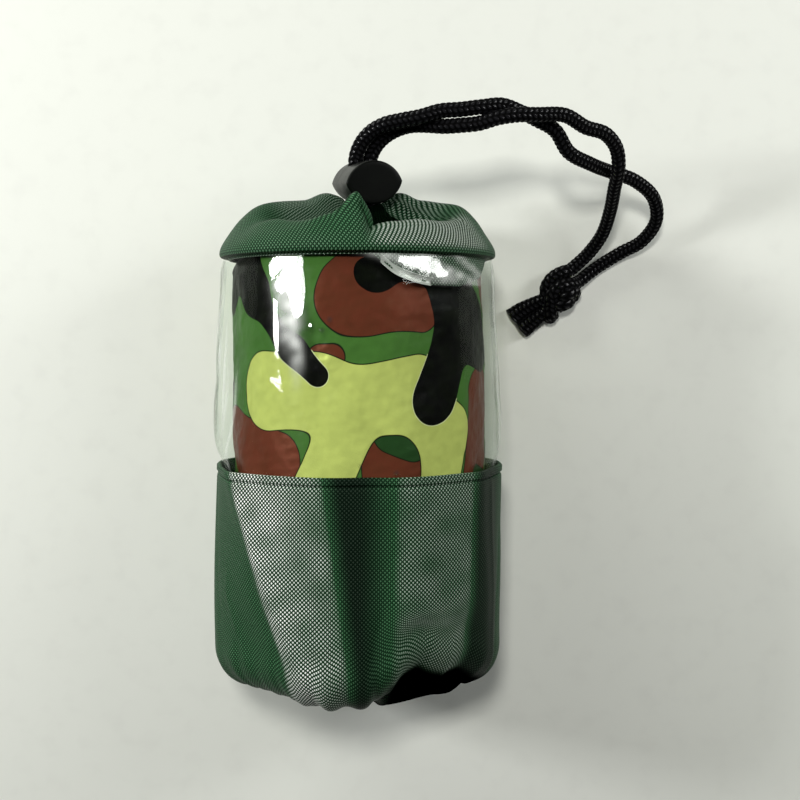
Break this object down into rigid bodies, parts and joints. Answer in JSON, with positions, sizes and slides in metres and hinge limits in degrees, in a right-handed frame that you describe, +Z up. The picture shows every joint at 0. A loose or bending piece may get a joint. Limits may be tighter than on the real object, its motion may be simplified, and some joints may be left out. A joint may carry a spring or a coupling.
{
  "type": "emergency sleeping bag in drawstring pouch",
  "caption": "Camouflage film sleeping bag, rolled up in a soft pouch with a clear window, a gathered drawstring collar and a sprung cord lock.",
  "frame": {"origin": "on the flat underside, below the middle of the clear window", "axes": "+Y along the bag towards its neck, +Z up from the surface that it lies on, +X to the right as seen from above"},
  "size_m": [0.1126, 0.1379, 0.0675],
  "materials": {
    "oxford_cloth": "green woven oxford cloth with a light sheen",
    "clear_film": "clear glossy film",
    "printed_film": "woodland camouflage print on thin film, satin",
    "black_plastic": "satin black",
    "black_cord": "black braided cord"
  },
  "bodies": {
    "pouch": {"base_wall": "oxford_cloth", "base_disc": "oxford_cloth", "window_tube": "clear_film", "sleeping_bag_roll": "printed_film", "collar": "oxford_cloth", "cord_lock_body": "black_plastic", "cord_a": "black_cord", "cord_b": "black_cord", "cord_knot": "black_cord", "cord_tail_a": "black_cord", "cord_tail_b": "black_cord"},
    "plunger": {"cord_lock_plunger": "black_plastic"}
  },
  "joints": [
    {"name": "press", "type": "slide", "parent": "pouch", "child": "plunger", "axis": [0.2739, -0.108, 0.9557], "range_m": [0, 0.0022], "stiffness_N_per_m": 60, "springref_m": -0.002}
  ]
}
